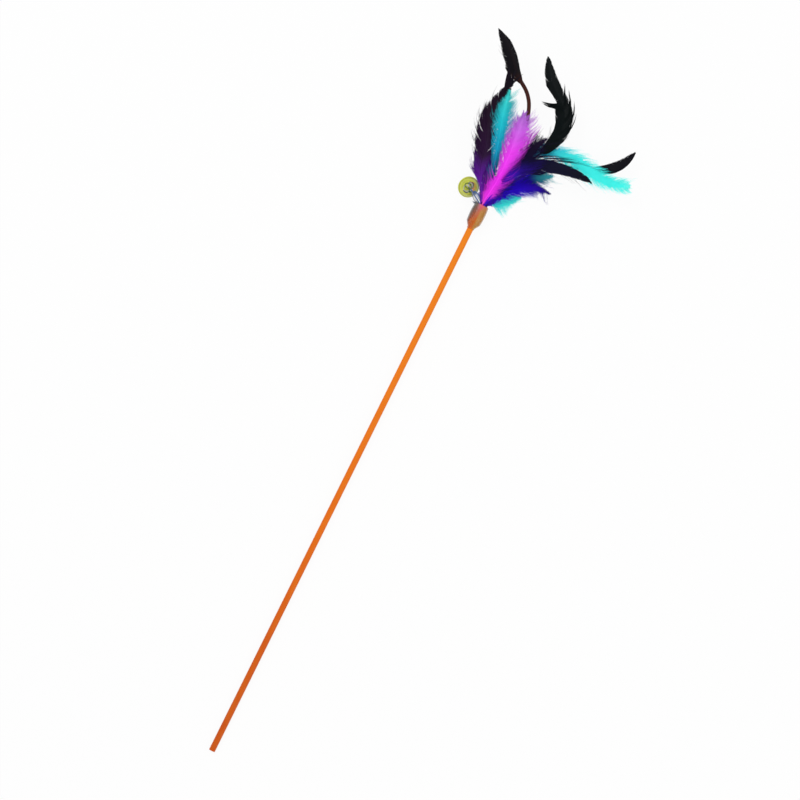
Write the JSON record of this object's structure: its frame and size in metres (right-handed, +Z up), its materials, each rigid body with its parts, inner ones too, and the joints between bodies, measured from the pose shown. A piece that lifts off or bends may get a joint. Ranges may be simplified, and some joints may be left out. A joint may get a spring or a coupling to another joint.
{
  "type": "cat teaser wand",
  "caption": "Cat teaser wand: a slim orange rod with a clear tip sleeve that holds a fan of dyed feathers and a small slotted jingle bell on a short cord.",
  "frame": {"origin": "centre of the rod's butt face, with the wand lying on a table on its butt, its sleeve and its bell", "axes": "+X along the rod from butt to feathers, raised about half a degree; +Z up; +Y to the left, where the bell lies"},
  "size_m": [0.5865, 0.1438, 0.0485],
  "materials": {
    "orange_plastic": "smooth gloss",
    "clear_sleeve": "clear amber gloss",
    "hot_glue": "cloudy amber",
    "blue_cord": "twisted cord",
    "lime_paint": "satin lime paint",
    "steel_wire": "plain wire",
    "steel_ball": "plain ball",
    "magenta_feather": "dyed feather barbs",
    "dark_feather": "dyed feather barbs",
    "plum_feather": "dyed feather barbs",
    "violet_feather": "dyed feather barbs",
    "cyan_feather": "dyed feather barbs",
    "black_feather": "dyed feather barbs",
    "indigo_feather": "dyed feather barbs",
    "teal_feather": "dyed feather barbs"
  },
  "bodies": {
    "wand": {"wand_rod": "orange_plastic", "tip_sleeve": "clear_sleeve", "glue_plug": "hot_glue", "bell_tie": "blue_cord", "feather_magenta": "magenta_feather", "feather_dark_left": "dark_feather", "feather_plum_back": "plum_feather", "feather_violet": "violet_feather", "feather_dark_right": "dark_feather", "feather_cyan_upper": "cyan_feather", "feather_black_right": "black_feather", "feather_black_curl": "black_feather", "feather_black_tall": "black_feather", "feather_cyan_right": "cyan_feather", "feather_indigo": "indigo_feather", "feather_teal_under": "teal_feather", "feather_cyan_low": "cyan_feather"},
    "bell": {"bell_crown": "lime_paint", "bell_bowl": "lime_paint", "bell_staple": "steel_wire"},
    "pellet": {"bell_pellet": "steel_ball"}
  },
  "joints": [
    {"name": "bell_swing", "type": "hinge", "parent": "wand", "child": "bell", "pos_m": [0.46849, 0.01197, 0.01463], "axis": [0.8695, -0.4939, 0.0069], "range_deg": [0, 65]},
    {"name": "pellet_rattle", "type": "slide", "parent": "bell", "child": "pellet", "axis": [-0.0079, 0, 1], "range_m": [0, 0.007]}
  ]
}
